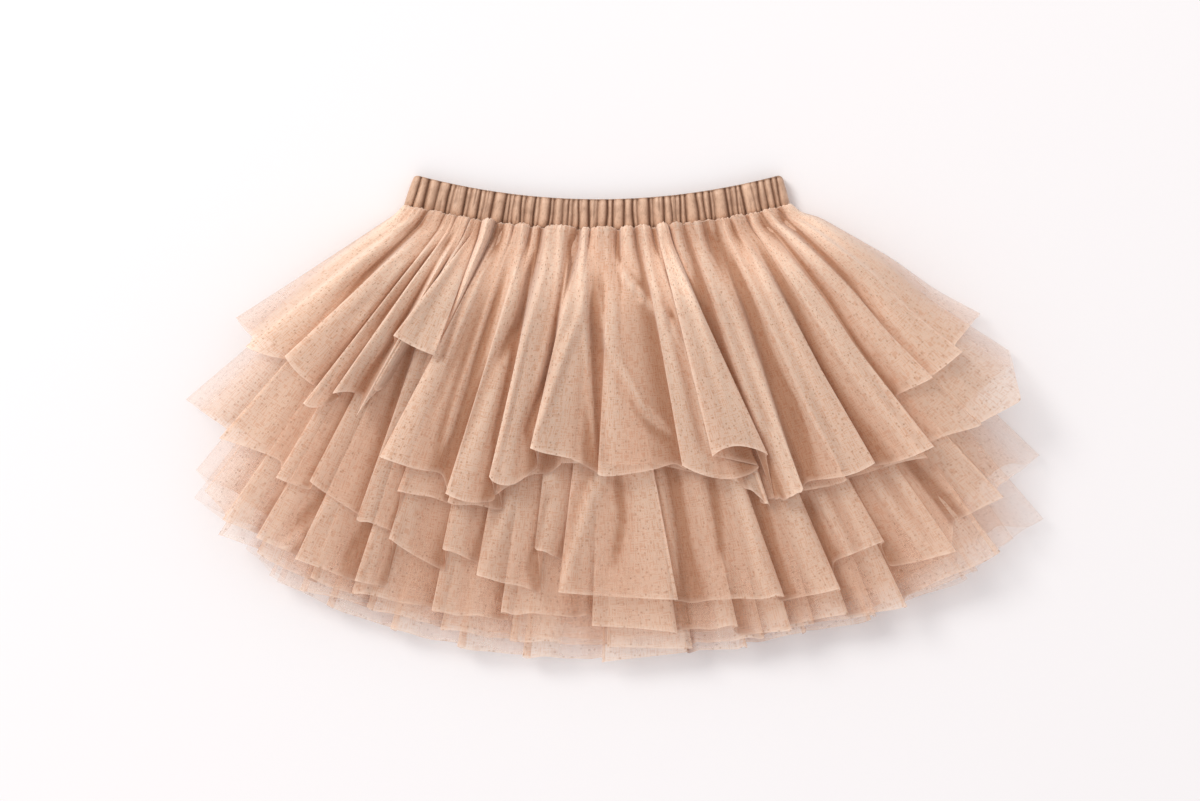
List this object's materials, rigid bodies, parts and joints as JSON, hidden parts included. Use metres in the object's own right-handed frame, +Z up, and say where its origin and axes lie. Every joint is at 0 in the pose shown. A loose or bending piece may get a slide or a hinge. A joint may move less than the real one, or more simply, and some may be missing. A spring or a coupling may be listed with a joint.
{
  "type": "tulle skirt",
  "caption": "Child's beige tulle skirt laid flat, with tiered gathered ruffles hanging from a gathered satin waistband.",
  "frame": {"origin": "on the surface that the skirt lies on, under the middle of its overall box", "axes": "+X to the viewer's right along the waist, +Y from the hems to the waistband, +Z up off the surface"},
  "size_m": [0.5154, 0.292, 0.0468],
  "materials": {
    "waistband_satin": "soft satin, gathered",
    "tulle_over": "fine matt net",
    "tulle_under": "fine matt net"
  },
  "bodies": {
    "root": {"waistband": "waistband_satin", "tier_1_over": "tulle_over", "tier_1_under": "tulle_under", "tier_2_over": "tulle_over", "tier_2_under": "tulle_under", "tier_3_over": "tulle_over", "tier_3_under": "tulle_under"}
  },
  "joints": []
}
